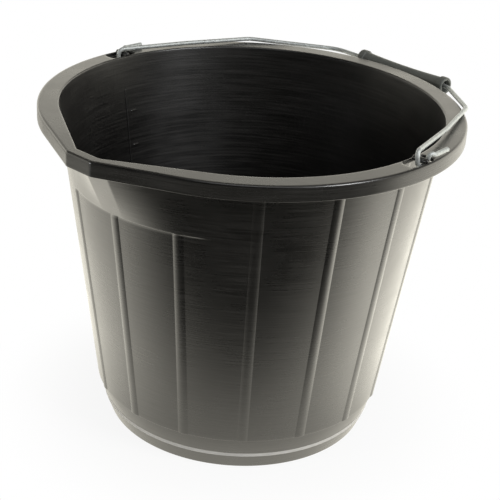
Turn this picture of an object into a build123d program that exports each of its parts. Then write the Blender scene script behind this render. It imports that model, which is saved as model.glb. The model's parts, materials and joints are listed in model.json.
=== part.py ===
from build123d import *
import math
import os

# A builder's bucket: one moulded body with a pouring spout, a wire bail hooked
# into the rim, and a moulded grip that turns on the bail.
# Millimetres, +Z up. The origin is on the floor, on the axis of the bucket.
# The spout points to -Y, the bail's hooks are at +X and -X, the bail rests on +Y.

# Rim and wall
RIM_R = 167.0            # outside of the rim
HEIGHT = 266.0           # floor to the top of the rim
FLANGE_W = 15.5          # outside of the wall to outside of the rim
FLANGE_T = 2.6           # thickness of the flat rim
SKIRT_H = 11.8           # height of the turned-down edge of the rim
SKIRT_T = 2.4            # thickness of the turned-down edge
RIM_ROUND = 2.0          # rounding of the outer top edge of the rim
MOUTH_ROUND = 2.4        # rounding of the inner top edge of the rim
MOUTH_FACET_COUNT = 3    # facets of that rounding
WALL_T = 2.4             # wall thickness, measured level
DRAFT_DEG = 7.8          # lean of the wall from upright

# Base
BAND_Z = 30.3            # height where the ribs end and the plain band begins
BAND_STEP = 0.5          # how far the plain band is set in from the wall
BAND_IN = 5.0            # how far the ridge is set in from the top of the band
BAND_BULGE = 1.8         # how far the band bows out from a straight line
RIDGE_Z = 13.2           # height of the ridge that tops the foot
RIDGE_H = 1.2            # how far the ridge stands out from the band above it
FOOT_IN = 5.1            # how far the foot leans in over its height
FOOT_T = 2.6             # thickness of the foot ring
FLOOR_T = 2.8            # thickness of the bucket's floor
FLOOR_ROUND = 7.0        # rounding inside, between floor and wall

# Ribs
RIB_COUNT = 16
RIB_W = 8.4              # width where a rib leaves the wall
RIB_H = 1.25             # how far its rounded crest stands out

# Spout
SPOUT_REACH = 18.6       # how far the throat stands out past the wall, at the rim
SPOUT_HALF_W = 12.5      # half the width of the blunt nose
SPOUT_DEPTH = 53.8       # rim top down to where the throat leaves the wall
SPOUT_FLANGE_W = 7.9     # width of the rim in front of the nose
SPOUT_LIP_H = 1.3        # step out of the wall at the foot of the throat, where the ribs end
SPOUT_LIP_RISE = 0.9     # height of that step
SPOUT_LIP_HOLD = 0.75    # share of the step left halfway along each flank

# Bail hooks: at each side the wire is hooked round a bar that crosses a slot in the rim
WIRE_D = 3.6
BAR_D = 4.4              # bar that the wire is hooked round
HOOK_GAP = 0.4           # play between wire and bar
BAR_Y = 5.5              # the bars sit this far behind the bucket's axis
BAR_RISE = 0.2           # axis of the bars above the top of the rim
BAR_ROOT = 1.0           # how far the bar's ends run past the slot
SLOT_WALL = 0.5          # strip of rim left between wall and slot
SLOT_SKIRT = 0.4         # strip of rim left between skirt and slot
SLOT_FRONT = 15.5        # bar to the slot's front end, where the wire swings down
SLOT_BACK_GAP = 0.6      # room behind the hook as it turns

# Bail
HOOK_PLAY = 3.0          # the hook is longer than the bar is thick by this
HOOK_SHIFT = 1.5         # the hook sits this far outwards from the slot's middle
STRAND_GAP = 0.7         # gap between the two strands of the hook, sideways
TAIL_BACK = 5.0          # tail's bend behind the hook
TAIL_ARCH = 1.5          # how far the wire arches over before the tail
TAIL_OUT = 1.8           # how far that bend is set outwards from the hook
TAIL_IN = 0.8            # how far the tail's tip points back in
TAIL_L = 16.0            # length of the tail behind its bend
TAIL_LIFT = 1.2          # the tail of the lifted hook stands this much higher
KINK_DEG = 24.3          # first slight bend, round from the X axis
KINK_OUT = 1.6           # its distance outside the wall line
SHOULDER_DEG = 46.0      # bend where the wire crosses the rim
SHOULDER_OUT = 2.0       # its distance outside the rim
REST_GAP = 0.5           # wire over the rim at rest
HOOK_FLAT = 0.2          # the hook's bends leave this much straight at each side of a corner
TAIL_TURN_R = 2.6        # bend radii of the wire's middle line
TAIL_BEND_R = 6.0
KINK_BEND_R = 40.0
SHOULDER_BEND_R = 22.0
GRIP_BEND_R = 20.0

# Grip
GRIP_L = 96.0
GRIP_END_R = 7.4
GRIP_WAIST_R = 5.2
GRIP_COLLAR_L = 6.0      # plain collar at each end
GRIP_COLLAR_STEP = 1.1   # how far the collar stands out
GRIP_POCKET_R = 5.0      # hollow at each end, in which the wire starts to bend
GRIP_POCKET_L = 7.0
GRIP_BORE_GAP = 0.5      # play between bore and wire
GRIP_ROUND = 1.0
GRIP_GAP = 0.8           # rim to grip at rest
GRIP_DROP = 3.4          # axis of the grip below the rim top at rest
RUN_L = 112.0            # straight run of wire that carries the grip
RUN_MID = -8.2           # its middle, from its point nearest the rim
RUN_TURN_DEG = 4.2       # the run is bent a little askew
BEND_IN = 5.0            # the grip has slid this far over the bend at the +X end

os.makedirs("parts", exist_ok=True)

lean = math.tan(math.radians(DRAFT_DEG))
wall_top_r = RIM_R - FLANGE_W
throat_z = HEIGHT - SPOUT_DEPTH
nose_y = wall_top_r + SPOUT_REACH
rim_nose_y = nose_y + SPOUT_FLANGE_W
skirt_z = HEIGHT - SKIRT_H
flange_z = HEIGHT - FLANGE_T


def wall_r(z):
    """Outside radius of the wall at a height."""
    return wall_top_r - (HEIGHT - z) * lean


def spout_turn(radius, nose):
    """Angle from the spout's middle to where its straight flank touches the circle."""
    corner = math.hypot(nose, SPOUT_HALF_W)
    return math.acos(radius / corner) + math.atan2(SPOUT_HALF_W, nose)


throat_turn = spout_turn(wall_top_r, nose_y)
rim_turn = spout_turn(RIM_R, rim_nose_y)


def on_circle(radius, turn):
    """Point on a circle, turned from the spout's middle."""
    return (radius * math.sin(turn), -radius * math.cos(turn))


def nose_half(radius, nose, turn):
    """Half width of a nose whose flanks are tangents to the circle at a turn."""
    return (radius - nose * math.cos(turn)) / math.sin(turn)


def spout_outline(radius, nose, half, turn):
    """A circle that runs out along two straight flanks to a blunt nose."""
    right = on_circle(radius, turn)
    left = on_circle(radius, -turn)
    back = ThreePointArc(right, (0, radius), left)
    front = Polyline(left, (-half, -nose), (half, -nose), right)
    return make_face([back, *front.edges()])


def round_outline(radius, turn, crease, lip=0):
    """The same circle with no spout, cut into the spans that a spout outline has.

    With a lip the nose's span stands out by it, and the flanks run from the circle out to it.
    """
    right = on_circle(radius, turn)
    left = on_circle(radius, -turn)
    crease_right = on_circle(radius + lip, crease)
    crease_left = on_circle(radius + lip, -crease)
    middle = (turn + crease) / 2
    flank_r = radius + lip * SPOUT_LIP_HOLD
    spans = [
        ThreePointArc(right, (0, radius), left),
        ThreePointArc(left, on_circle(flank_r, -middle), crease_left),
        ThreePointArc(crease_left, (0, -radius - lip), crease_right),
        ThreePointArc(crease_right, on_circle(flank_r, middle), right),
    ]
    return make_face(spans)


def wall_block(inset, lip=0, edge_round=0):
    """The wall with the spout's throat, drawn in level by an inset, as a solid block.

    With a lip the throat leaves the wall by a small step. With a rounding of its upper edge
    the block flares out to the rim in a few facets.
    """
    throat_r = wall_r(throat_z) - inset
    half = nose_half(wall_top_r - inset, nose_y - inset, throat_turn)
    crease = math.asin(half / throat_r)
    crease_y = throat_r * math.cos(crease)
    sections = [
        Pos(0, 0, BAND_Z) * round_outline(wall_r(BAND_Z) - inset, throat_turn, crease),
        Pos(0, 0, throat_z) * round_outline(throat_r, throat_turn, crease),
    ]
    if lip:
        lip_z = throat_z + SPOUT_LIP_RISE
        sections.append(Pos(0, 0, lip_z) * round_outline(wall_r(lip_z) - inset, throat_turn, crease, lip))
    steps = MOUTH_FACET_COUNT if edge_round else 0
    for step in range(steps + 1):
        turn = math.pi / 2 * step / max(steps, 1)
        flare = edge_round * (1 - math.cos(turn))
        drop = edge_round * (1 - math.sin(turn))
        sunk = drop / SPOUT_DEPTH
        nose = nose_y - inset - (nose_y - inset - crease_y) * sunk + flare
        wide = half + flare * math.tan(throat_turn / 2)
        radius = wall_r(HEIGHT - drop) - inset + flare
        sections.append(Pos(0, 0, HEIGHT - drop) * spout_outline(radius, nose, wide, throat_turn))
    return loft(sections, ruled=True)


def base():
    """Plain band, ridge, foot ring and floor, turned in one profile."""
    band_r = wall_r(BAND_Z) - BAND_STEP
    ridge_r = band_r - BAND_IN
    foot_r = ridge_r - FOOT_IN
    floor_z = RIDGE_Z + FLOOR_T
    band_low = (ridge_r - RIDGE_H, RIDGE_Z + RIDGE_H)
    band_middle = ((band_r + band_low[0]) / 2 + BAND_BULGE, (BAND_Z + band_low[1]) / 2)
    inner_low_r = band_low[0] - WALL_T + BAND_BULGE / 2
    inner_band_r = band_r - WALL_T
    inner_middle = ((inner_band_r + inner_low_r) / 2 + BAND_BULGE / 2, (BAND_Z + floor_z) / 2)
    outside = [
        Line((0, RIDGE_Z), (ridge_r - FOOT_T, RIDGE_Z)),
        Line((ridge_r - FOOT_T, RIDGE_Z), (foot_r - FOOT_T, 0)),
        Line((foot_r - FOOT_T, 0), (foot_r, 0)),
        Line((foot_r, 0), (ridge_r, RIDGE_Z)),
        Line((ridge_r, RIDGE_Z), band_low),
        ThreePointArc(band_low, band_middle, (band_r, BAND_Z)),
        Line((band_r, BAND_Z), (inner_band_r, BAND_Z)),
        ThreePointArc((inner_band_r, BAND_Z), inner_middle, (inner_low_r, floor_z)),
        Line((inner_low_r, floor_z), (0, floor_z)),
        Line((0, floor_z), (0, RIDGE_Z)),
    ]
    profile = make_face(outside)
    corner = profile.vertices().sort_by_distance((inner_low_r, floor_z))[0]
    profile = fillet(corner, FLOOR_ROUND)
    return revolve(Plane.XZ * profile, Axis.Z)


def rib(index):
    """One raised rib that follows the wall up from the plain band."""
    angle = index * 360 / RIB_COUNT
    under_spout = math.radians(min(angle, 360 - angle)) < throat_turn
    top = throat_z if under_spout else flange_z + FLANGE_T / 2
    root = wall_r(BAND_Z) - WALL_T / 2
    foot = wall_r(BAND_Z)
    crest = foot + RIB_H
    left = -RIB_W / 2
    right = RIB_W / 2
    bead = ThreePointArc((right, -foot), (0, -crest), (left, -foot))
    back = Polyline((left, -foot), (left, -root), (right, -root), (right, -foot))
    section = Pos(0, 0, BAND_Z) * make_face([bead, *back.edges()])
    rise = top - BAND_Z
    strip = extrude(section, rise / math.cos(math.radians(DRAFT_DEG)), dir=(0, -lean, 1))
    return Rot(0, 0, angle) * strip


def rim_outline(inset):
    """Outside of the rim, drawn in by an inset."""
    radius = RIM_R - inset
    nose = rim_nose_y - inset
    return spout_outline(radius, nose, nose_half(radius, nose, rim_turn), rim_turn)


def rim():
    """Flat rim and its turned-down skirt round mouth and spout."""
    outer = extrude(Pos(0, 0, skirt_z) * rim_outline(0), SKIRT_H)
    top_edges = outer.edges().group_by(Axis.Z)[-1]
    outer = fillet(top_edges, RIM_ROUND)
    hollow = extrude(Pos(0, 0, skirt_z) * rim_outline(SKIRT_T), SKIRT_H - FLANGE_T)
    return outer - hollow


hook_r = (BAR_D + WIRE_D) / 2 + HOOK_GAP
slot_in = wall_top_r + SLOT_WALL
slot_out = RIM_R - SKIRT_T - SLOT_SKIRT
slot_back = hook_r + HOOK_PLAY + WIRE_D / 2 + SLOT_BACK_GAP
bar_z = HEIGHT + BAR_RISE


def hook_slot(side):
    """Slot through the rim in which the hook turns, longer in front of the bar."""
    length = SLOT_FRONT + slot_back
    width = slot_out - slot_in
    middle = Pos(side * (slot_in + slot_out) / 2, BAR_Y + (slot_back - SLOT_FRONT) / 2)
    plan = middle * RectangleRounded(width, length, width / 4)
    return extrude(Pos(0, 0, flange_z) * plan, 2 * FLANGE_T)


def hook_bar(side):
    """Round bar across the slot, let into the rim at both ends."""
    length = slot_out - slot_in + 2 * BAR_ROOT
    middle = Pos(side * (slot_in + slot_out) / 2, BAR_Y, bar_z)
    return middle * Rot(0, 90, 0) * Cylinder(BAR_D / 2, length)


def bucket_body():
    """The one moulding: shell, spout, ribs, rim and the bars for the bail."""
    body = wall_block(0, lip=SPOUT_LIP_H) + rim()
    body = body + [rib(index) for index in range(RIB_COUNT)]
    body = body - wall_block(WALL_T, edge_round=MOUTH_ROUND)
    body = body + base()
    for side in (1, -1):
        body = body - hook_slot(side)
        body = body + hook_bar(side)
    return body


run_turn = math.radians(RUN_TURN_DEG)
grip_mid = RUN_MID + RUN_L / 2 + BEND_IN - GRIP_L / 2
run_r = RIM_R + GRIP_WAIST_R + GRIP_GAP
run_z = HEIGHT - GRIP_DROP
grip_r = WIRE_D / 2 + GRIP_BORE_GAP


def on_run(along):
    """Point on the straight run of wire that carries the grip."""
    return Vector(
        run_r * math.sin(run_turn) + along * math.cos(run_turn),
        run_r * math.cos(run_turn) - along * math.sin(run_turn),
        run_z,
    )


def round_rim(radius, degrees, side, z):
    """Point over the rim, turned from the X axis towards the back."""
    turn = math.radians(degrees)
    return Vector(side * radius * math.cos(turn), radius * math.sin(turn), z)


def bail_half(side):
    """Bend points and bend radii of one half of the bail, from the grip out to the tail's tip."""
    lift = HOOK_PLAY if side > 0 else 0
    front_y = BAR_Y - hook_r
    back_y = BAR_Y + hook_r
    high_z = bar_z + hook_r + lift
    low_z = bar_z - hook_r - HOOK_PLAY + lift
    rest_z = HEIGHT + WIRE_D / 2 + REST_GAP
    shoulder = round_rim(RIM_R + SHOULDER_OUT, SHOULDER_DEG, side, rest_z)
    kink = round_rim(wall_top_r + KINK_OUT, KINK_DEG, side, rest_z)
    kink.Z = rest_z + (high_z - rest_z) * (shoulder.Y - kink.Y) / (shoulder.Y - front_y)
    bend_start = on_run(RUN_MID + side * RUN_L / 2)
    heading = (on_run(side) - on_run(0)).normalized()
    reach = (shoulder - bend_start).normalized()
    turn = math.acos(heading.dot(reach))
    grip_bend = bend_start + heading * (GRIP_BEND_R * math.tan(turn / 2))
    middle_x = (slot_in + slot_out) / 2 + HOOK_SHIFT
    pitch = WIRE_D + STRAND_GAP
    tail_x = middle_x + pitch / 2 + TAIL_OUT
    tail_y = back_y + TAIL_BACK
    tail_z = rest_z + TAIL_LIFT * lift / HOOK_PLAY
    points = [
        grip_bend,
        shoulder,
        kink,
        Vector(side * (middle_x - pitch / 2), front_y, high_z),
        Vector(side * (middle_x - pitch / 6), front_y, low_z),
        Vector(side * (middle_x + pitch / 6), back_y, low_z),
        Vector(side * (middle_x + pitch / 2), back_y, tail_z + TAIL_ARCH),
        Vector(side * tail_x, tail_y, tail_z),
        Vector(side * (tail_x - TAIL_IN), tail_y + TAIL_L, tail_z),
    ]
    hook_bends = 3 * [hook_r - HOOK_FLAT]
    bends = [GRIP_BEND_R, SHOULDER_BEND_R, KINK_BEND_R, *hook_bends, TAIL_TURN_R, TAIL_BEND_R]
    return points, bends


def bail_path():
    """Middle line of the bail's wire, from one tail's tip to the other."""
    near, near_bends = bail_half(1)
    far, far_bends = bail_half(-1)
    return FilletPolyline(*far[::-1], *near, radius=far_bends[::-1] + near_bends)


def bail_wire():
    """The bail: one wire with a hook and a tail at each end."""
    path = bail_path()
    start = Plane(origin=path @ 0, z_dir=path % 0)
    return sweep(start * Circle(WIRE_D / 2), path=path)


def grip():
    """The grip: a waisted tube with a collar and a hollow at each end."""
    half = GRIP_L / 2
    collar = half - GRIP_COLLAR_L
    flare_r = GRIP_END_R - GRIP_COLLAR_STEP
    pocket = half - GRIP_POCKET_L
    edge = GRIP_ROUND
    outside = [
        ThreePointArc((-collar, flare_r), (0, GRIP_WAIST_R), (collar, flare_r)),
        Line((collar, flare_r), (collar, GRIP_END_R)),
        Line((collar, GRIP_END_R), (half - edge, GRIP_END_R)),
        Line((half - edge, GRIP_END_R), (half, GRIP_END_R - edge)),
        Line((half, GRIP_END_R - edge), (half, GRIP_POCKET_R)),
        Line((half, GRIP_POCKET_R), (pocket, GRIP_POCKET_R)),
        Line((pocket, GRIP_POCKET_R), (pocket, grip_r)),
        Line((pocket, grip_r), (-pocket, grip_r)),
        Line((-pocket, grip_r), (-pocket, GRIP_POCKET_R)),
        Line((-pocket, GRIP_POCKET_R), (-half, GRIP_POCKET_R)),
        Line((-half, GRIP_POCKET_R), (-half, GRIP_END_R - edge)),
        Line((-half, GRIP_END_R - edge), (-half + edge, GRIP_END_R)),
        Line((-half + edge, GRIP_END_R), (-collar, GRIP_END_R)),
        Line((-collar, GRIP_END_R), (-collar, flare_r)),
    ]
    tube = revolve(make_face(outside), Axis.X)
    return Pos(*on_run(grip_mid)) * Rot(0, 0, -RUN_TURN_DEG) * tube


export_step(bucket_body(), "parts/bucket_body.step")
export_step(bail_wire(), "parts/bail_wire.step")
export_step(grip(), "parts/grip.step")
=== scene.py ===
"""Looks of a black moulded bucket with ribs and a pouring spout, on a wire bail with a grip.

Metres, +Z up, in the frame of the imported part. The spout points to -Y, the bail's hooks
are at +X and -X, and the bail rests over +Y. Angles round the bucket start at the spout.
"""
import json
import math

import bpy
import numpy as np
from mathutils import Matrix, Vector


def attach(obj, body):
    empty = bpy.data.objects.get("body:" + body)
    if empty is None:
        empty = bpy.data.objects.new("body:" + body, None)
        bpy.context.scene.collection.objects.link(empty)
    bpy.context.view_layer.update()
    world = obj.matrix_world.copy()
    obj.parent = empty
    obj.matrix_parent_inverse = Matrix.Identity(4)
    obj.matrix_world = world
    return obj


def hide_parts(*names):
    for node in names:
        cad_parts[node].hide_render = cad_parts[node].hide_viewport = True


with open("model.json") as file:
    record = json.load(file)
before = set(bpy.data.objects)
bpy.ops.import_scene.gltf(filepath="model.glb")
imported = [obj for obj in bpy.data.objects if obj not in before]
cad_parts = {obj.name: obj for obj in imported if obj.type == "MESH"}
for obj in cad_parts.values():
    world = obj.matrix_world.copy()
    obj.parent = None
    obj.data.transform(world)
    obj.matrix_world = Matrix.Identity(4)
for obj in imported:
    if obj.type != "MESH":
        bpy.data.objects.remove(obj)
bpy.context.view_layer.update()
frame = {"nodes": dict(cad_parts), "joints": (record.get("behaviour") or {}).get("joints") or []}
joints = {joint["name"]: joint for joint in frame["joints"]}

# Rim and wall
RIM_R = 0.167
HEIGHT = 0.266
FLANGE_W = 0.0155
FLANGE_T = 0.0026
SKIRT_H = 0.0118
SKIRT_T = 0.0024
RIM_ROUND = 0.002
MOUTH_ROUND = 0.0011     # rounding of the flange's inner edge, where the wall is as thin
WALL_T = 0.0024
DRAFT = math.radians(7.8)
EDGE_ROUND = 0.0008      # rounding of most edges
FINE_ROUND = 0.0006      # rounding of the crisper ones

# Base
BAND_Z = 0.0303
BAND_STEP = 0.0012
BAND_ROUND = 0.001       # rounding of the wall's lower edge over the band
BAND_ROOT_ROUND = 0.0002
BAND_INSIDE_ROUND = 0.004
BAND_IN = 0.0043
BAND_BULGE = 0.0003
BAND_BOW = 0.0076        # length of the band's curve to each side of its middle
RIDGE_Z = 0.0132
RIDGE_H = 0.0015
RIDGE_OUT = 0.0005       # how far the ridge stands out from the band's foot
RIDGE_ROUND = 0.0005
RIDGE_ROOT_ROUND = 0.0007
RECESS_ROUND = 0.001     # rounding under the floor, inside the foot ring
FOOT_IN = 0.0051
FOOT_T = 0.0026
FLOOR_T = 0.0028
FLOOR_ROUND = 0.007

# Ribs
RIB_COUNT = 16
RIB_W = 0.0084
RIB_H = 0.00095

# Spout
SPOUT_REACH = 0.0186
SPOUT_HALF_W = 0.0125
SPOUT_DEPTH = 0.0538
SPOUT_FLANGE_W = 0.0079
NOSE_EASE = 0.0006       # how softly the nose turns into its flanks
LIP_H = 0.0013           # step where the throat leaves the wall
LIP_RISE = 0.0013        # height of that step

# Slots and bars for the bail's hooks
BAR_R = 0.0022
BAR_RISE = 0.0002
BAR_Y = 0.0055
BAR_ROOT = 0.001
SLOT_WALL = 0.0005
SLOT_SKIRT = 0.0004
SLOT_FRONT = 0.0155
SLOT_BACK = 0.0098
SLOT_ROUND = 0.0007

# Grip
GRIP_L = 0.096
GRIP_END_R = 0.0074
GRIP_END_ROUND = 0.0013
GRIP_WAIST_R = 0.0052
GRIP_COLLAR_L = 0.006
GRIP_COLLAR_STEP = 0.0011
GRIP_COLLAR_ROUND = 0.0004
GRIP_POCKET_R = 0.005
GRIP_POCKET_L = 0.007
GRIP_POCKET_ROUND = 0.0007
GRIP_BORE_R = 0.0023

# Level marks moulded inside the wall, under the far hook
MARK_TURN = math.radians(-89.2)
MARK_TOP = 0.24
MARK_LOW = 0.05
MARK_STEP = 0.03
MARK_FIRST = 0.069
MARK_GAP = 0.0035        # line to the start of a short mark
MARK_L = 0.0065
MARK_W = 0.0012          # half the width of a mark
MARK_H = 0.0009

# Meshes
TOUCH = 1e-6             # rows closer than this to a height or radius count as on it
BEND_POINTS = 6          # along a rounded corner or the flare of a slot
RIB_COLUMNS = np.array([0.25, 0.5, 0.7, 0.86, 0.96, 1.0, 1.05, 1.2])    # from its middle, in half widths
PLAIN_COLUMNS = 11       # between two ribs
PLAIN_FROM = 0.11        # where they start past a quarter of a rib, in shares of the ribs' pitch
PLAIN_TO = 0.85          # where they end
NOSE_COLUMNS = np.array([0.1, 0.2, 0.35, 0.5, 0.75])    # degrees to each side of the nose's corner
CORNER_POINTS = 9        # round each corner of a slot
BAR_GRID = (25, 32)      # rows along and columns round a bar
BEAD_GRID = (17, 12)     # rows along and columns round a level mark
WAIST_ROWS = 22          # from a collar of the grip to its middle
GRIP_COLUMNS = 64
SHEET_GRID = (9, 96)     # rings of the floor sheet, with its middle as one, and columns
SHELL_SHARP = math.radians(38)          # edges that bend further than this are sharp
GRIP_SHARP = math.radians(50)

# Camera, as it stood for the photograph, with its lens and sensor in millimetres
CAMERA_PLACE = (0.6431, -0.7208, 0.6001)
CAMERA_HEADING = math.radians(41.467)
CAMERA_PITCH = math.radians(25.522)
CAMERA_ROLL = math.radians(3.514)
CAMERA_LENS = 93.5
CAMERA_SENSOR = 36.0

lean = math.tan(DRAFT)
wall_top_r = RIM_R - FLANGE_W
throat_z = HEIGHT - SPOUT_DEPTH
flange_z = HEIGHT - FLANGE_T
skirt_z = HEIGHT - SKIRT_H
nose_y = wall_top_r + SPOUT_REACH
rim_nose_y = nose_y + SPOUT_FLANGE_W
slot_in = wall_top_r + SLOT_WALL
slot_out = RIM_R - SKIRT_T - SLOT_SKIRT
rib_pitch = 2 * math.pi / RIB_COUNT


def soft_min(first, second, ease):
    """The lesser of two values, rounded off by a parabola where they are within an ease of each other."""
    share = np.clip(0.5 + 0.5 * (second - first) / ease, 0, 1)
    return second + (first - second) * share - ease * share * (1 - share)


def soft_step(value, low, high):
    """Rises from 0 at low to 1 at high along a cubic that is level at both ends."""
    share = np.clip((value - low) / (high - low), 0, 1)
    return share * share * (3 - 2 * share)


def wall_r(z):
    """Outside radius of the wall: it falls from the rim by the tangent of the draft."""
    return wall_top_r - (HEIGHT - z) * lean


def inner_r(z):
    """Inside radius of the wall: above the throat's foot its thickness falls evenly to the mouth's edge."""
    return wall_r(z) - np.interp(z, [throat_z, HEIGHT], [WALL_T, MOUTH_ROUND])


def spout_turn(radius, nose):
    """Angle at which a straight line from the corner of the nose touches the circle."""
    corner = math.hypot(nose, SPOUT_HALF_W)
    return math.acos(radius / corner) + math.atan2(SPOUT_HALF_W, nose)


throat_turn = spout_turn(wall_top_r, nose_y)
rim_turn = spout_turn(RIM_R, rim_nose_y)


def spout_reach(angle, radius, nose, turn):
    """Distance from the axis to a circle that runs out along two flanks to a blunt nose.

    The flank is the line radius / cos(turn - angle), the nose the line nose / cos(angle), and
    the outline takes the lesser of the two with a soft corner. Past the turn it is the circle.
    """
    side = np.abs(angle)
    flank = radius / np.cos(np.clip(turn - side, 0, None))
    front = nose / np.cos(np.clip(side, 0, turn))
    return np.where(side < turn, soft_min(flank, front, NOSE_EASE), radius)


def wall_reach(angle, z, inset):
    """Distance from the axis to the wall, drawn in level by an inset.

    Below the throat it is a cone. Above it, each height is mixed in equal steps from the
    circle at the throat's foot to the spout's outline at the rim.
    """
    foot = wall_r(throat_z) - inset
    top = spout_reach(angle, wall_top_r - inset, nose_y - inset, throat_turn)
    rise = (z - throat_z) / SPOUT_DEPTH
    return np.where(z > throat_z, foot + (top - foot) * rise, wall_r(z) - inset)


def rim_reach(angle, inset):
    """Distance from the axis to the outside of the rim, drawn in by an inset."""
    return spout_reach(angle, RIM_R - inset, rim_nose_y - inset, rim_turn)


def rib_relief(angle, z):
    """How far the ribs stand out: a rounded bead on the wall.

    The height is one less the square of the distance along the wall from the nearest rib, taken
    against half the rib's width. The ribs under the spout stop at the throat's foot.
    """
    nearest = np.round(angle / rib_pitch) * rib_pitch
    across = np.abs(angle - nearest) * wall_r(z) / (RIB_W / 2)
    height = RIB_H * np.clip(1 - across ** 2, 0, 1)
    under_spout = np.abs(nearest) < throat_turn
    fade = 1 - soft_step(z, throat_z, throat_z + LIP_RISE)
    return np.where(under_spout, height * fade, height)


def throat_lip(angle, z):
    """Step where the throat leaves the wall, whole under the nose.

    It falls with the fourth power of the way along each flank, and evenly with the height to the rim.
    """
    crease = math.asin(SPOUT_HALF_W / wall_r(throat_z))
    along = np.clip((np.abs(angle) - crease) / (throat_turn - crease), 0, 1)
    rise = soft_step(z, throat_z, throat_z + LIP_RISE)
    fade = 1 - np.clip((z - throat_z) / SPOUT_DEPTH, 0, 1)
    return LIP_H * (1 - along ** 4) * rise * fade


def shell_reach(angle, radius, z):
    """Distance from the axis to the shell, from the radius that its profile has at the back.

    Rows at or inside the wall follow the wall's outline, drawn in by what they lie inside it.
    Rows within the skirt's thickness follow the rim's outline. Rows between mix the two.
    Ribs and the throat's lip stand on the wall's outside alone. They grow across the ledge over
    the band, and under the flange they die out over half of its width.
    """
    wall = wall_reach(angle, z, np.clip(wall_r(z) - radius, 0, None))
    past_wall = np.clip(radius - wall_r(z), 0, None)
    in_rim = np.clip(RIM_R - radius, 0, SKIRT_T)
    share = np.clip(past_wall / (RIM_R - SKIRT_T - wall_r(z)), 0, 1)
    reach = wall + (rim_reach(angle, in_rim) - wall) * np.where(z > skirt_z - FLANGE_T, share, 0)
    on_ledge = np.clip((radius - wall_r(BAND_Z) + BAND_STEP) / BAND_STEP, 0, 1)
    edge = np.where(z < BAND_Z + BAND_ROUND, BAND_STEP, 0)
    outside = np.where(radius > wall_r(z) - edge - TOUCH, on_ledge, 0) * (z > BAND_Z - TOUCH)
    outside = outside * np.clip(1 - past_wall / (FLANGE_W / 2), 0, 1) * (z < flange_z + TOUCH)
    return reach + outside * (rib_relief(angle, z) + throat_lip(angle, z))


def rounded_line(corners):
    """Points along a line whose corners are rounded off.

    Each corner is (across, up, rounding, steps). A corner with a rounding becomes a parabola from
    that length before it to that length after it. The straight stretch before it has its steps
    gathered towards both ends.
    """
    rows = []
    for index, (across, up, rounding, steps) in enumerate(corners):
        here = np.array([across, up])
        before = np.array(corners[max(index - 1, 0)][:2])
        after = np.array(corners[min(index + 1, len(corners) - 1)][:2])
        start = here
        end = here
        if rounding:
            start = here + (before - here) * rounding / np.linalg.norm(before - here)
            end = here + (after - here) * rounding / np.linalg.norm(after - here)
        if rows:
            share = 0.5 - 0.5 * np.cos(np.pi * np.arange(1, steps) / steps)
            rows.append(rows[-1][-1] + (start - rows[-1][-1]) * share[:, None])
        bend = np.linspace(0, 1, BEND_POINTS if rounding else 1)[:, None]
        rows.append((1 - bend) ** 2 * start + 2 * bend * (1 - bend) * here + bend ** 2 * end)
    return np.concatenate(rows)


def shell_profile():
    """The shell's section at the back, from under the floor round the rim to the top of the floor."""
    band_r = wall_r(BAND_Z) - BAND_STEP
    ridge_r = band_r - BAND_IN
    foot_r = ridge_r - FOOT_IN
    floor_z = RIDGE_Z + FLOOR_T
    band_low_r = ridge_r - RIDGE_OUT
    band_low_z = RIDGE_Z + RIDGE_H
    inner_low_r = band_low_r - WALL_T + BAND_BULGE / 2
    bow_r = (band_r + band_low_r) / 2 + 2 * BAND_BULGE
    bow_z = (BAND_Z + band_low_z) / 2
    return rounded_line([
        (0.0, RIDGE_Z, 0, 0),
        (ridge_r - FOOT_T, RIDGE_Z, RECESS_ROUND, 6),
        (foot_r - FOOT_T, 0.0, FINE_ROUND, 4),
        (foot_r, 0.0, EDGE_ROUND, 2),
        (ridge_r, RIDGE_Z, RIDGE_ROUND, 6),
        (band_low_r, band_low_z, RIDGE_ROOT_ROUND, 2),
        (bow_r, bow_z, BAND_BOW, 3),
        (band_r, BAND_Z, BAND_ROOT_ROUND, 3),
        (wall_r(BAND_Z), BAND_Z, BAND_ROUND, 2),
        (wall_r(throat_z), throat_z, 0, 14),
        (wall_r(throat_z + LIP_RISE), throat_z + LIP_RISE, 0, 5),
        (wall_r(flange_z), flange_z, EDGE_ROUND, 14),
        (RIM_R - SKIRT_T, flange_z, EDGE_ROUND, 4),
        (RIM_R - SKIRT_T, skirt_z, FINE_ROUND, 3),
        (RIM_R, skirt_z, EDGE_ROUND, 2),
        (RIM_R, HEIGHT, RIM_ROUND, 4),
        (wall_top_r - MOUTH_ROUND, HEIGHT, MOUTH_ROUND, 6),
        (wall_r(throat_z) - WALL_T, throat_z, 0, 12),
        (wall_r(BAND_Z) - WALL_T, BAND_Z, BAND_INSIDE_ROUND, 10),
        (inner_low_r, floor_z, FLOOR_ROUND, 2),
        (0.0, floor_z, 0, 5),
    ])


def both_ways(steps):
    """Steps to both sides of a middle, with the middle itself."""
    return np.concatenate([-steps[::-1], [0], steps])


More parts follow.
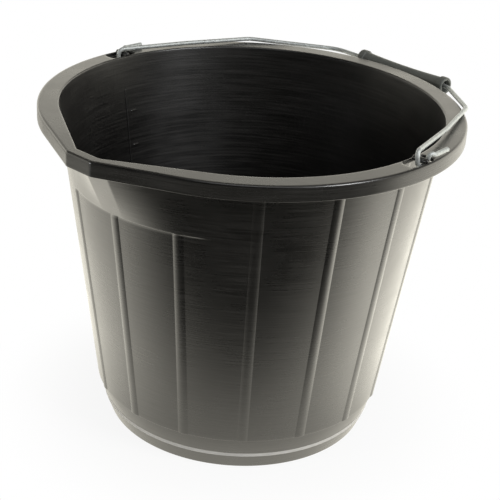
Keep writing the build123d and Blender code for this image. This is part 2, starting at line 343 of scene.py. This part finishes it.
def shell_columns():
    """Angles and sideways offsets of the shell's columns, in order round the bucket.

    Every rib has columns at fixed distances along the wall from its middle, so that its edges
    stay sharp at each height. Others stand at fixed angles between, closer at the nose's corners.
    """
    across = both_ways(RIB_COLUMNS * RIB_W / 2)
    ribs = np.arange(RIB_COUNT) * rib_pitch
    quarter_rib = RIB_W / 4 / (wall_r(BAND_Z) * rib_pitch)
    between = rib_pitch * np.linspace(quarter_rib + PLAIN_FROM, PLAIN_TO, PLAIN_COLUMNS)
    corner = math.atan2(SPOUT_HALF_W, (nose_y + rim_nose_y) / 2)
    near = corner + np.radians(both_ways(NOSE_COLUMNS))
    plain = np.concatenate([(ribs[:, None] + between).ravel(), near, 2 * np.pi - near])
    stations = np.concatenate([np.repeat(ribs, len(across)), plain])
    offsets = np.concatenate([np.tile(across, RIB_COUNT), np.zeros(len(plain))])
    order = np.argsort((stations + offsets / wall_r(BAND_Z)) % (2 * np.pi))
    return stations[order], offsets[order]


def grid_faces(rows, columns, wrap_rows):
    """Four-sided faces of a grid whose columns close up, and whose rows do too if asked."""
    row = np.arange(rows if wrap_rows else rows - 1)[:, None]
    column = np.arange(columns)[None, :]
    next_row = (row + 1) % rows
    next_column = (column + 1) % columns
    corners = [
        row * columns + column,
        row * columns + next_column,
        next_row * columns + next_column,
        next_row * columns + column,
    ]
    return np.stack(corners, axis=-1).reshape(-1, 4)


def make_piece(name, points, quads, fans=()):
    """A smooth mesh object from points, four-sided faces and fans of triangles."""
    triangles = np.concatenate(fans) if len(fans) else np.zeros((0, 3), int)
    loops = np.concatenate([quads.ravel(), triangles.ravel()]).astype(np.int32)
    sizes = np.concatenate([np.full(len(quads), 4), np.full(len(triangles), 3)])
    starts = np.concatenate([[0], np.cumsum(sizes)[:-1]]).astype(np.int32)
    mesh = bpy.data.meshes.new(name)
    mesh.vertices.add(len(points))
    mesh.vertices.foreach_set("co", points.astype(np.float32).ravel())
    mesh.loops.add(len(loops))
    mesh.loops.foreach_set("vertex_index", loops)
    mesh.polygons.add(len(sizes))
    mesh.polygons.foreach_set("loop_start", starts)
    mesh.polygons.foreach_set("use_smooth", np.ones(len(sizes), bool))
    mesh.update(calc_edges=True)
    mesh.validate()
    piece = bpy.data.objects.new(name, mesh)
    bpy.context.scene.collection.objects.link(piece)
    return piece


def capped_surface(name, *grids):
    """A closed piece from grids whose first and last rows shrink to a point each."""
    points = []
    quads = []
    fans = []
    start = 0
    for grid in grids:
        rows, columns = grid.shape[:2]
        inner = grid[1:-1].reshape(-1, 3)
        column = np.arange(columns)
        following = (column + 1) % columns
        last = (rows - 3) * columns
        pole = np.full(columns, len(inner))
        points += [inner, grid[:1, 0], grid[-1:, 0]]
        quads.append(start + grid_faces(rows - 2, columns, False))
        fans.append(start + np.stack([pole, following, column], axis=1))
        fans.append(start + np.stack([last + column, last + following, pole + 1], axis=1))
        start += len(inner) + 2
    return make_piece(name, np.concatenate(points), np.concatenate(quads), fans)


def round_turn(columns):
    """Even angles round a full turn."""
    return np.linspace(0, 2 * np.pi, columns, endpoint=False)


def gathered(rows):
    """Places from -1 to 1 along a line, gathered towards both ends by a sine."""
    return np.sin(np.linspace(-np.pi / 2, np.pi / 2, rows))


def slot_cutter(side):
    """Block that cuts one slot: a rounded rectangle whose edge flares out to the top of the rim.

    The outline is four quarter circles joined by straight sides. Each row widens it by a flare.
    """
    half = np.array([(slot_out - slot_in) / 2, (SLOT_FRONT + SLOT_BACK) / 2])
    middle = np.array([side * (slot_in + slot_out) / 2, BAR_Y + (SLOT_BACK - SLOT_FRONT) / 2])
    corner_r = half[0] / 2
    quarters = np.arange(0, 360, 90)[:, None]
    turn = np.radians(quarters + np.linspace(0, 90, CORNER_POINTS)).ravel()
    round_out = np.stack([np.cos(turn), np.sin(turn)], axis=1)
    signs = np.array([(1, 1), (-1, 1), (-1, -1), (1, -1)]).repeat(CORNER_POINTS, axis=0)
    bend = np.linspace(0, np.pi / 2, BEND_POINTS)
    flare = np.concatenate([[-half[0], 0], SLOT_ROUND * (1 - np.cos(bend)), [SLOT_ROUND, -half[0]]])
    top = HEIGHT + 2 * FLANGE_T
    low = flange_z - FLANGE_T
    height = np.concatenate([[low, low], HEIGHT - SLOT_ROUND * (1 - np.sin(bend)), [top, top]])
    grown = (corner_r + np.clip(flare, 0, None))[:, None, None]
    outline = signs * (half - corner_r) + round_out * grown
    outline = np.where((flare < 0)[:, None, None], 0, outline) + middle
    rise = np.broadcast_to(height[:, None, None], outline.shape[:2] + (1,))
    return capped_surface(f"slot_cutter_{side}", np.concatenate([outline, rise], axis=2))


def hook_bar(side):
    """Bar across a slot: a round tube along X whose radius drops to nothing at its domed ends.

    The radius is the bar's times the cube root of one less the twelfth power of the way from its middle.
    """
    root_in = slot_in - BAR_ROOT
    root_out = slot_out + BAR_ROOT
    rows, columns = BAR_GRID
    along = gathered(rows)
    radius = BAR_R * (1 - np.abs(along) ** 12) ** (1 / 3)
    turn = round_turn(columns)
    x = side * (root_in + root_out) / 2 + along[:, None] * (root_out - root_in) / 2
    y = BAR_Y + radius[:, None] * np.cos(turn)
    z = HEIGHT + BAR_RISE + radius[:, None] * np.sin(turn)
    grid = np.stack(np.broadcast_arrays(x, y, z), axis=2)
    return capped_surface("hook_bar_near" if side > 0 else "hook_bar_far", grid)


def wall_bead(start, end):
    """Low bead on the inside of the wall between two places, each given as (across, height).

    It is an oval tube along the wall, half sunk in it, whose size falls to nothing at both ends
    with the square root of one less the eighth power of the way from its middle.
    """
    rows, columns = BEAD_GRID
    along = gathered(rows)
    place = np.array(start) + (np.array(end) - start) * (along[:, None] + 1) / 2
    reach = inner_r(place[:, 1])
    angle = MARK_TURN - place[:, 0] / reach
    middle = np.stack([reach * np.sin(angle), -reach * np.cos(angle), place[:, 1]], axis=1)
    inward = np.stack([-np.sin(angle), np.cos(angle), 0 * angle], axis=1)
    forward = middle[-1] - middle[0]
    forward = forward / np.linalg.norm(forward)
    side = np.cross(inward, forward)
    size = np.sqrt(1 - along ** 8)[:, None, None]
    turn = round_turn(columns)[:, None]
    oval = MARK_W * np.cos(turn) * side[:, None] + MARK_H * np.sin(turn) * inward[:, None]
    return middle[:, None] + size * oval


def level_marks():
    """Scale of contents inside the wall: an upright line with short marks beside it and no figures."""
    beads = [wall_bead((0.0, MARK_LOW), (0.0, MARK_TOP))]
    for height in np.arange(MARK_FIRST, MARK_TOP, MARK_STEP):
        beads.append(wall_bead((MARK_GAP, height), (MARK_GAP + MARK_L, height)))
    return capped_surface("level_marks", *beads)


def cut_slots(shell):
    """Cuts a slot for each hook out of the shell, and gives it the mesh that is left."""
    cutters = [slot_cutter(side) for side in (1, -1)]
    for cutter in cutters:
        cut = shell.modifiers.new(cutter.name, "BOOLEAN")
        cut.operation = "DIFFERENCE"
        cut.solver = "EXACT"
        cut.object = cutter
    shell_seen = shell.evaluated_get(bpy.context.evaluated_depsgraph_get())
    mesh = bpy.data.meshes.new_from_object(shell_seen)
    shell.modifiers.clear()
    shell.data = mesh
    for cutter in cutters:
        bpy.data.objects.remove(cutter)


def bucket_shell():
    """The moulding: its profile carried round the axis, moved out by the spout and the ribs."""
    profile = shell_profile()
    stations, offsets = shell_columns()
    radius = profile[:, :1]
    z = profile[:, 1:]
    angle = stations + offsets / wall_r(np.clip(z, BAND_Z, HEIGHT))
    angle = (angle + np.pi) % (2 * np.pi) - np.pi
    reach = np.where(radius > 0, shell_reach(angle, radius, z), 0)
    grid = np.stack([reach * np.sin(angle), -reach * np.cos(angle), z + 0 * reach], axis=2)
    shell = capped_surface("bucket_shell", grid)
    cut_slots(shell)
    shell.data.polygons.foreach_set("use_smooth", np.ones(len(shell.data.polygons), bool))
    shell.data.set_sharp_from_angle(angle=SHELL_SHARP)
    return shell


def grip_tube():
    """The grip: a waisted tube with rounded collars and a hollow at each end, turned about its run.

    Half of its section runs from the bore's middle through the hollow and the collar to the waist.
    The waist's radius grows with the square of the distance from the middle.
    """
    half = GRIP_L / 2
    collar = half - GRIP_COLLAR_L
    flare_r = GRIP_END_R - GRIP_COLLAR_STEP
    pocket = half - GRIP_POCKET_L
    along = np.linspace(collar - GRIP_COLLAR_STEP, 0, WAIST_ROWS)
    waist_r = GRIP_WAIST_R + (flare_r - GRIP_WAIST_R) * (along / collar) ** 2
    end = rounded_line([
        (pocket / 2, GRIP_BORE_R, 0, 0),
        (pocket, GRIP_BORE_R, FINE_ROUND, 3),
        (pocket, GRIP_POCKET_R, EDGE_ROUND, 3),
        (half, GRIP_POCKET_R, GRIP_POCKET_ROUND, 3),
        (half, GRIP_END_R, GRIP_END_ROUND, 3),
        (collar, GRIP_END_R, FINE_ROUND, 4),
        (collar, flare_r, GRIP_COLLAR_ROUND, 2),
        (along[0], waist_r[0], 0, 2),
    ])
    section = np.concatenate([end[:-1], np.stack([along, waist_r], axis=1)])
    section = np.concatenate([section, (section * (-1, 1))[-2::-1]])
    turn = round_turn(GRIP_COLUMNS)
    centre = np.array(joints["grip_spin"]["pos_m"])
    axis = np.array(joints["grip_spin"]["axis"])
    axis = axis / np.linalg.norm(axis)
    up = np.array([0.0, 0.0, 1.0])
    level = np.cross(up, axis)
    out = np.cos(turn)[:, None] * level + np.sin(turn)[:, None] * up
    grid = centre + section[:, :1, None] * axis + section[:, 1:, None] * out
    quads = grid_faces(len(section), len(turn), True)[:, ::-1]
    piece = make_piece("grip_tube", grid.reshape(-1, 3), quads)
    piece.data.set_sharp_from_angle(angle=GRIP_SHARP)
    return piece


# Finishes. A range is (from, to) of the value read, then (first, last) of what it gives, or else 0 and 1
LEVEL = (1, 1, 0)            # drops the height of a place
GRAIN_DEPTH = 0.0001         # of the relief in a finish


def new_material(name):
    """An empty node material, its tree and its shader."""
    material = bpy.data.materials.new(name)
    material.use_nodes = True
    tree = material.node_tree
    return material, tree, tree.nodes["Principled BSDF"]


def add_node(tree, kind, inputs=None, **settings):
    """Adds a node, sets its properties, and sets or links its inputs."""
    node = tree.nodes.new(kind)
    for key, value in settings.items():
        setattr(node, key, value)
    for key, value in (inputs or {}).items():
        if isinstance(value, bpy.types.NodeSocket):
            tree.links.new(value, node.inputs[key])
        else:
            node.inputs[key].default_value = value
    return node


def object_place(tree):
    """Place on the surface, in the piece's own coordinates."""
    return add_node(tree, "ShaderNodeTexCoord").outputs["Object"]


def maths(tree, operation, *values):
    """Result of an operation on one to three values."""
    return add_node(tree, "ShaderNodeMath", dict(enumerate(values)), operation=operation).outputs[0]


def vector_maths(tree, operation, *vectors):
    """Result of an operation on vectors: a value for a length or a dot product, else a vector."""
    node = add_node(tree, "ShaderNodeVectorMath", dict(enumerate(vectors)), operation=operation)
    return node.outputs["Value" if operation in ("LENGTH", "DOT_PRODUCT") else "Vector"]


def ranged(tree, value, start, end, first=0.0, last=1.0, smooth=False):
    """Goes from first to last as a value goes from start to end, and is held beyond them."""
    limits = {"Value": value, "From Min": start, "From Max": end, "To Min": first, "To Max": last}
    curve = "SMOOTHSTEP" if smooth else "LINEAR"
    return add_node(tree, "ShaderNodeMapRange", limits, interpolation_type=curve).outputs[0]


def mixed(tree, share, first, second):
    """Value between two, by a share of the second."""
    return add_node(tree, "ShaderNodeMix", {"Factor": share, 2: first, 3: second}).outputs[0]


def mixed_colour(tree, share, first, second):
    """Colour between two, by a share of the second."""
    both = {"Factor": share, 6: first, 7: second}
    return add_node(tree, "ShaderNodeMix", both, data_type="RGBA").outputs[2]


def noise(tree, place, scale, detail, roughness=0.5):
    """Noise read at a place, as a value and as a colour."""
    look = {"Vector": place, "Scale": scale, "Detail": detail, "Roughness": roughness}
    return add_node(tree, "ShaderNodeTexNoise", look).outputs


def link_finish(tree, shader, colour, roughness, height, strength):
    """Feeds a shader its colour and roughness, and bumps its normal by a height."""
    grain = {"Height": height, "Strength": strength, "Distance": GRAIN_DEPTH}
    relief = add_node(tree, "ShaderNodeBump", grain)
    tree.links.new(colour, shader.inputs["Base Color"])
    tree.links.new(roughness, shader.inputs["Roughness"])
    tree.links.new(relief.outputs["Normal"], shader.inputs["Normal"])


def new_group(name, inputs, outputs):
    """A shader node group with named value inputs and outputs, its inputs' sockets and its end node."""
    tree = bpy.data.node_groups.new(name, "ShaderNodeTree")
    for label in inputs:
        tree.interface.new_socket(label, in_out="INPUT", socket_type="NodeSocketFloat")
    for label in outputs:
        tree.interface.new_socket(label, in_out="OUTPUT", socket_type="NodeSocketFloat")
    return tree, tree.nodes.new("NodeGroupInput").outputs, tree.nodes.new("NodeGroupOutput")


def add_group(tree, group, inputs):
    """Outputs of a node group that is placed in a material with its own values."""
    return add_node(tree, "ShaderNodeGroup", inputs, node_tree=group).outputs


# Tool lines and scuffs
FLOOR_LINES_R = 0.1          # inside this radius tool lines run in rings over the floor
SCRATCH_BEND = 0.04          # share of noise in the scratches' course
SCRATCH_TURN = (0.6, 0.9, 0.4)
SCRATCH_STRETCH = (0.12, 1.0, 1.0)
SCRATCH_EDGE = (0.0, 0.03, 1.0, 0.0)    # of the distance to a cell's edge
SCRATCH_AREAS = (0.5, 0.72)             # of the noise that says where scratches lie
SPECK_CUT = (0.7, 0.78)                 # of the noise that gives specks


def draw_marks():
    """Group: fine level lines left by the tool on turned walls, broken up round the bucket.

    Noise is read in cylinder coordinates: slowly along the angle, quickly up the height. Nearer to the
    axis than the wall it is read quickly along the radius too, so that the floor has rings.
    """
    tree, given, result = new_group("draw_marks", ["Lines per metre", "Length"], ["Lines", "Patches"])
    place = object_place(tree)
    split = add_node(tree, "ShaderNodeSeparateXYZ", {0: place}).outputs
    angle = maths(tree, "ABSOLUTE", maths(tree, "ARCTAN2", split["X"], split["Y"]))
    along = maths(tree, "MULTIPLY", angle, given["Length"])
    radius = vector_maths(tree, "LENGTH", vector_maths(tree, "MULTIPLY", place, LEVEL))
    on_floor = maths(tree, "MINIMUM", radius, FLOOR_LINES_R)
    ring = maths(tree, "SUBTRACT", on_floor, FLOOR_LINES_R)
    height = maths(tree, "ADD", split["Z"], ring)
    up = maths(tree, "MULTIPLY", height, given["Lines per metre"])
    spot = add_node(tree, "ShaderNodeCombineXYZ", {"X": along, "Z": up}).outputs[0]
    lines = noise(tree, spot, scale=1.0, detail=2.0)
    patches = noise(tree, place, scale=22.0, detail=4.0, roughness=0.6)
    tree.links.new(lines["Fac"], result.inputs["Lines"])
    tree.links.new(patches["Fac"], result.inputs["Patches"])
    return tree


def scuffs():
    """Group: rub marks and dust. Stretched cells give short scratches, fine noise gives specks."""
    tree, given, result = new_group("scuffs", ["Scale", "Amount"], ["Scratches", "Specks"])
    place = object_place(tree)
    bend = noise(tree, place, scale=30.0, detail=3.0)["Color"]
    both = {"Factor": SCRATCH_BEND, 4: place, 5: bend}
    moved = add_node(tree, "ShaderNodeMix", both, data_type="VECTOR").outputs[1]
    lie = {"Vector": moved, "Rotation": SCRATCH_TURN, "Scale": SCRATCH_STRETCH}
    turned = add_node(tree, "ShaderNodeMapping", lie).outputs[0]
    size = {"Vector": turned, "Scale": given["Scale"]}
    cells = add_node(tree, "ShaderNodeTexVoronoi", size, feature="DISTANCE_TO_EDGE")
    scratches = ranged(tree, cells.outputs["Distance"], *SCRATCH_EDGE)
    areas = ranged(tree, noise(tree, place, scale=14.0, detail=3.0)["Fac"], *SCRATCH_AREAS)
    kept = maths(tree, "MULTIPLY", scratches, areas)
    shown = maths(tree, "MULTIPLY", kept, given["Amount"])
    specks = ranged(tree, noise(tree, place, scale=900.0, detail=2.0)["Fac"], *SPECK_CUT)
    tree.links.new(shown, result.inputs["Scratches"])
    tree.links.new(specks, result.inputs["Specks"])
    return tree


marks_group = draw_marks()
scuffs_group = scuffs()

# Moulded plastic
BLACK = (0.002, 0.0019, 0.0018, 1)
# Tool-line streaks lighten the black: a painted sheen that stands in for light caught by the lines
BLACK_STREAK_SHEEN = (0.016, 0.0152, 0.0144, 1)
BLACK_WORN = (0.035, 0.033, 0.031, 1)
# Pale ridge colour: partly wear from rubbing, partly a painted highlight along the ridge's edge
BLACK_RUB_HIGHLIGHT = (0.62, 0.61, 0.59, 1)
BLACK_IOR = 1.75
OUTER_LINES = {"Lines per metre": 1000.0, "Length": 3.5}
INNER_LINES = {"Lines per metre": 620.0, "Length": 3.0}
BLACK_SCUFFS = {"Scale": 110.0, "Amount": 0.35}
FACES_AXIS = (-0.15, -0.6)              # of the share of a face's direction that points outwards
STREAK_SHEEN_CUT = (0.4, 0.7)                 # of the tool lines' noise
RIDGE_RUB_HIGHLIGHT = (0.7 * RIDGE_H, 1.1 * RIDGE_H, 1.0, 0.0)        # of the height from the ridge's middle
RIDGE_OUTSIDE = (0.1115, 0.1121)        # of the radius, so that the pale rub and painted highlight keep to the outside
RUB_HIGHLIGHT_PATCHES = (0.3, 0.7, 0.7, 1.0)
GLOSS_PATCHES = (0.3, 0.7, 0.2, 0.28)
LINES_ROUGH = 0.1                       # what tool lines, wear and the inside add to the roughness
WORN_ROUGH = 0.15
INSIDE_ROUGH = 0.06
LINES_RELIEF = 0.6
GLOSS_STRETCH = 0.3
QUARTER_TURN = 0.25


def mould_black():
    """Satin warm-black moulded plastic with level tool lines, cloudy gloss and light scratches.

    The tool lines give faint streaks of roughness and relief, and of colour that is a painted sheen.
    The plastic is rougher inside the bucket, where the surface faces the axis. Along the ridge it is pale,
    partly worn by rubbing and partly a painted highlight. The gloss spreads upwards, across the tool lines.
    """
    material, tree, shader = new_material("mould_black")
    place = object_place(tree)
    outward = vector_maths(tree, "MULTIPLY", place, LEVEL)
    normal = add_node(tree, "ShaderNodeNewGeometry").outputs["Normal"]
    facing = vector_maths(tree, "DOT_PRODUCT", vector_maths(tree, "NORMALIZE", outward), normal)
    inside = ranged(tree, facing, *FACES_AXIS)
    marks = add_group(tree, marks_group, OUTER_LINES)
    inner_marks = add_group(tree, marks_group, INNER_LINES)
    lines = mixed(tree, inside, marks["Lines"], inner_marks["Lines"])
    wear = add_group(tree, scuffs_group, BLACK_SCUFFS)
    worn = maths(tree, "MAXIMUM", wear["Scratches"], wear["Specks"])

    # Pale ridge: wear from rubbing together with a painted highlight, kept to the outside of the base
    height = add_node(tree, "ShaderNodeSeparateXYZ", {0: place}).outputs["Z"]
    off_ridge = maths(tree, "ABSOLUTE", maths(tree, "SUBTRACT", height, RIDGE_Z + RIDGE_H / 2))
    on_ridge = ranged(tree, off_ridge, *RIDGE_RUB_HIGHLIGHT)
    on_outside = ranged(tree, vector_maths(tree, "LENGTH", outward), *RIDGE_OUTSIDE)
    ridge = maths(tree, "MULTIPLY", on_ridge, on_outside)
    rub_and_highlight = maths(tree, "MULTIPLY", ridge, ranged(tree, marks["Patches"], *RUB_HIGHLIGHT_PATCHES))

    # Streaks along the tool lines lighten the colour: a painted sheen of light caught by the lines
    streak_sheen = mixed_colour(tree, ranged(tree, lines, *STREAK_SHEEN_CUT), BLACK, BLACK_STREAK_SHEEN)
    plain = mixed_colour(tree, worn, streak_sheen, BLACK_WORN)
    colour = mixed_colour(tree, rub_and_highlight, plain, BLACK_RUB_HIGHLIGHT)
    rough = ranged(tree, marks["Patches"], *GLOSS_PATCHES)
    rough = maths(tree, "MULTIPLY_ADD", lines, LINES_ROUGH, rough)
    rough = maths(tree, "MULTIPLY_ADD", maths(tree, "MAXIMUM", worn, rub_and_highlight), WORN_ROUGH, rough)
    rough = maths(tree, "MULTIPLY_ADD", inside, INSIDE_ROUGH, rough)
    link_finish(tree, shader, colour, rough, lines, LINES_RELIEF)
    around = add_node(tree, "ShaderNodeTangent", direction_type="RADIAL", axis="Z")
    tree.links.new(around.outputs[0], shader.inputs["Tangent"])
    shader.inputs["Anisotropic"].default_value = GLOSS_STRETCH
    shader.inputs["Anisotropic Rotation"].default_value = QUARTER_TURN
    shader.inputs["IOR"].default_value = BLACK_IOR
    return material


# Zinc of the wire
ZINC_DARK = (0.46, 0.485, 0.48, 1)
ZINC_LIGHT = (0.6, 0.63, 0.625, 1)
ZINC_WORN = (0.42, 0.44, 0.44, 1)
ZINC_METALLIC = 0.6
ZINC_SCUFFS = {"Scale": 260.0, "Amount": 0.8}
SPANGLE_SCALE = 420.0
SPANGLE_ROUGH = (0.0, 1.0, 0.5, 0.6)
SPANGLE_RELIEF = 0.15


def bright_zinc():
    """Bright galvanised wire: cloudy zinc with slight spangle and dull scratches."""
    material, tree, shader = new_material("bright_zinc")
    wear = add_group(tree, scuffs_group, ZINC_SCUFFS)
    size = {"Vector": object_place(tree), "Scale": SPANGLE_SCALE}
    cells = add_node(tree, "ShaderNodeTexVoronoi", size)
    spangle = add_node(tree, "ShaderNodeSeparateColor", {"Color": cells.outputs["Color"]}).outputs[0]
    zinc = mixed_colour(tree, spangle, ZINC_DARK, ZINC_LIGHT)
    colour = mixed_colour(tree, wear["Scratches"], zinc, ZINC_WORN)
    rough = ranged(tree, spangle, *SPANGLE_ROUGH)
    link_finish(tree, shader, colour, rough, spangle, SPANGLE_RELIEF)
    shader.inputs["Metallic"].default_value = ZINC_METALLIC
    return material


# Plastic of the grip
GREY_DARK = (0.085, 0.091, 0.084, 1)
GREY_LIGHT = (0.13, 0.138, 0.128, 1)
GREY_WORN = (0.2, 0.208, 0.196, 1)
GREY_SCUFFS = {"Scale": 200.0, "Amount": 0.7}
GREY_ROUGH = (0.3, 0.7, 0.42, 0.56)
GREY_RELIEF = 0.25


def grip_grey():
    """Matt dark grey-green plastic of the grip, with moulded grain and worn patches."""
    material, tree, shader = new_material("grip_grey")
    wear = add_group(tree, scuffs_group, GREY_SCUFFS)
    place = object_place(tree)
    grain = noise(tree, place, scale=1500.0, detail=3.0)["Fac"]
    cloud = noise(tree, place, scale=60.0, detail=3.0)["Fac"]
    plain = mixed_colour(tree, cloud, GREY_DARK, GREY_LIGHT)
    colour = mixed_colour(tree, wear["Scratches"], plain, GREY_WORN)
    rough = ranged(tree, cloud, *GREY_ROUGH)
    link_finish(tree, shader, colour, rough, grain, GREY_RELIEF)
    return material


def dress(piece, material, body, node=None):
    """Gives a piece its material, the body that it rides on and the node that it stands for."""
    piece.data.materials.clear()
    piece.data.materials.append(material)
    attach(piece, body)
    if node:
        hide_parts(node)


black = mould_black()
dress(bucket_shell(), black, "bucket", "bucket_body")
for bar_side in (1, -1):
    dress(hook_bar(bar_side), black, "bucket")
dress(level_marks(), black, "bucket")
dress(grip_tube(), grip_grey(), "grip", "grip")

wire = frame["nodes"]["bail_wire"]
zinc_material = bright_zinc()
for wire_slot in wire.material_slots:
    wire_slot.material = zinc_material

# Studio: a pale sheet under the bucket, a white surround that is dark towards the camera
SHEET_R = 1.3
SHEET_COLOUR = (0.9, 0.9, 0.9, 1)
SHEET_ROUGH = 0.9
WHITE = (1, 1, 1, 1)
WARM = (1.0, 0.962, 0.845, 1)

# Glow of the sheet in gloss, by places on it in metres, as ranges
GLOW_BOW = 0.1                          # how much the front's edge bends back to the sides
GLOW_FRONT = (-0.305, -0.015, 0.01, 1.0)        # of the depth, away from the camera
GLOW_SIDE = (-0.3, 0.3, 1.9, 2.9)               # of the way to the right
GLOW_LEFT = (-0.7, -0.45, 0.4, 1.0)             # of the way to the right, far out at the left
GLOW_BEHIND = (math.radians(12), math.radians(45), 0.1, 1.1)    # of the bearing from straight behind
# The glow is dimmed under the bucket and near its foot: a painted shadow of the bucket
GLOW_UNDER = (0.105, 0.2)                       # of the radius, up to the whole glow
GLOW_NEAR = (0.0, 0.11, 0.8, 0.5)               # share left at the foot, of the way to either side
GLOW_DISTANT = (0.32, 0.75, 1.0, 0.5)           # of the radius
GLOW_FAR = (0.47, 0.62, 0.0, 0.2)               # of the radius, added to the rest
SHOWN_WHITE = (0.11, 0.22, 0.9, 1.0)            # share of plain white that the camera sees, of the radius

# Light of the surround by its direction, as ranges
SURROUND_DEPTH = (-0.45, 0.25, 0.03, 1.0)       # away from the camera
SURROUND_SIDE = (-1.0, 1.0, 0.75, 1.1)          # to the right
SURROUND_HEIGHT = (0.22, 0.52, 2.15, 0.25)      # up

# Lamps: places to the right, ahead and up as the camera looks, the height aimed at, size and watts
LAMPS = {
    "key_box": (1.1, -0.85, 1.15, HEIGHT / 2, 0.6, 16),
    "low_box": (-0.92, -0.53, 0.25, RIDGE_Z, 0.05, 2),
    "top_box": (0.0, -0.75, 1.6, HEIGHT / 2, 1.0, 4),
}

camera_right = np.array([math.cos(CAMERA_HEADING), math.sin(CAMERA_HEADING), 0])
camera_ahead = np.array([-math.sin(CAMERA_HEADING), math.cos(CAMERA_HEADING), 0])


def floor_sheet():
    """Flat round sheet: rings of points at even steps from its middle."""
    rings, columns = SHEET_GRID
    turn = round_turn(columns)
    ring = np.linspace(0, SHEET_R, rings)[1:, None]
    x = ring * np.cos(turn)
    y = ring * np.sin(turn)
    grid = np.stack([x, y, 0 * x], axis=2)
    points = np.concatenate([grid.reshape(-1, 3), [[0, 0, 0]]])
    column = np.arange(columns)
    fan = np.stack([column, (column + 1) % columns, np.full(columns, len(points) - 1)], axis=1)
    return make_piece("floor_sheet", points, grid_faces(len(grid), columns, False)[:, ::-1], [fan])


def sheet_white():
    """White sheet with a soft shadow, which glows to the camera and in gloss.

    The camera sees it white, with part of the shadow left near the bucket. In gloss its glow is a
    product of ranges: it falls off towards the front, to the left, straight behind, under the bucket,
    where the fall is a painted shadow of the bucket, and far out. A faint glow is added further out.
    """
    material, tree, shader = new_material("sheet_white")
    shader.inputs["Base Color"].default_value = SHEET_COLOUR
    shader.inputs["Roughness"].default_value = SHEET_ROUGH
    shader.inputs["Specular IOR Level"].default_value = 0.0
    place = object_place(tree)
    ahead = vector_maths(tree, "DOT_PRODUCT", place, tuple(camera_ahead))
    right = vector_maths(tree, "DOT_PRODUCT", place, tuple(camera_right))
    aside = maths(tree, "ABSOLUTE", right)
    away = vector_maths(tree, "LENGTH", place)
    depth = maths(tree, "MULTIPLY_ADD", aside, GLOW_BOW, ahead)
    bearing = maths(tree, "ARCTAN2", aside, ahead)
    near = ranged(tree, aside, *GLOW_NEAR)
    shares = [
        ranged(tree, right, *GLOW_SIDE),
        ranged(tree, bearing, *GLOW_BEHIND, smooth=True),
        ranged(tree, away, *GLOW_UNDER, first=near),
        ranged(tree, away, *GLOW_DISTANT),
        ranged(tree, right, *GLOW_LEFT),
    ]
    gloss = ranged(tree, depth, *GLOW_FRONT, smooth=True)
    for share in shares:
        gloss = maths(tree, "MULTIPLY", gloss, share)
    gloss = maths(tree, "ADD", gloss, ranged(tree, away, *GLOW_FAR))
    path = add_node(tree, "ShaderNodeLightPath").outputs
    seen = path["Is Camera Ray"]
    shown = maths(tree, "MULTIPLY", seen, ranged(tree, away, *SHOWN_WHITE, smooth=True))
    glowing = maths(tree, "MAXIMUM", shown, path["Is Glossy Ray"])
    light = {"Color": mixed_colour(tree, seen, WARM, WHITE), "Strength": mixed(tree, seen, gloss, 1.0)}
    glow = add_node(tree, "ShaderNodeEmission", light)
    both = {0: glowing, 1: shader.outputs[0], 2: glow.outputs[0]}
    surface = add_node(tree, "ShaderNodeMixShader", both)
    tree.links.new(surface.outputs[0], tree.nodes["Material Output"].inputs["Surface"])
    return material


def surround():
    """World: white to the camera; for light, bright low behind and at the sides and dark in front."""
    world = bpy.data.worlds.new("surround")
    bpy.context.scene.world = world
    world.use_nodes = True
    tree = world.node_tree
    background = tree.nodes["Background"]
    way = add_node(tree, "ShaderNodeTexCoord").outputs["Generated"]
    ahead = vector_maths(tree, "DOT_PRODUCT", way, tuple(camera_ahead))
    right = vector_maths(tree, "DOT_PRODUCT", way, tuple(camera_right))
    up = add_node(tree, "ShaderNodeSeparateXYZ", {0: way}).outputs["Z"]
    depth = ranged(tree, ahead, *SURROUND_DEPTH, smooth=True)
    level = maths(tree, "MULTIPLY", depth, ranged(tree, right, *SURROUND_SIDE))
    level = maths(tree, "MULTIPLY", level, ranged(tree, up, *SURROUND_HEIGHT, smooth=True))
    seen = add_node(tree, "ShaderNodeLightPath").outputs["Is Camera Ray"]
    tree.links.new(mixed(tree, seen, level, 1.0), background.inputs["Strength"])
    tree.links.new(mixed_colour(tree, seen, WARM, WHITE), background.inputs["Color"])


def add_softbox(name, right, ahead, up, aim_z, size, power):
    """Square area lamp, placed along the camera's right and ahead, aimed at a height on the axis."""
    lamp = bpy.data.lights.new(name, "AREA")
    lamp.size = size
    lamp.energy = power
    holder = bpy.data.objects.new(name, lamp)
    place = Vector(camera_right * right + camera_ahead * ahead + (0, 0, up))
    holder.location = place
    holder.rotation_euler = (Vector((0, 0, aim_z)) - place).to_track_quat("-Z", "Y").to_euler()
    bpy.context.scene.collection.objects.link(holder)


def add_camera():
    """Camera of the photograph: heading about Z, then pitch, then roll about its own axis."""
    lens = bpy.data.cameras.new("photo_camera")
    lens.sensor_width = CAMERA_SENSOR
    lens.lens = CAMERA_LENS
    holder = bpy.data.objects.new("photo_camera", lens)
    turn = Matrix.Rotation(CAMERA_HEADING, 4, "Z")
    turn = turn @ Matrix.Rotation(math.pi / 2 - CAMERA_PITCH, 4, "X")
    turn = turn @ Matrix.Rotation(CAMERA_ROLL, 4, "Z")
    holder.matrix_world = Matrix.Translation(CAMERA_PLACE) @ turn
    bpy.context.scene.collection.objects.link(holder)
    bpy.context.scene.camera = holder


sheet = floor_sheet()
sheet.data.materials.append(sheet_white())
surround()
for lamp_name, lamp_values in LAMPS.items():
    add_softbox(lamp_name, *lamp_values)
add_camera()
bpy.context.scene.view_settings.view_transform = "Standard"
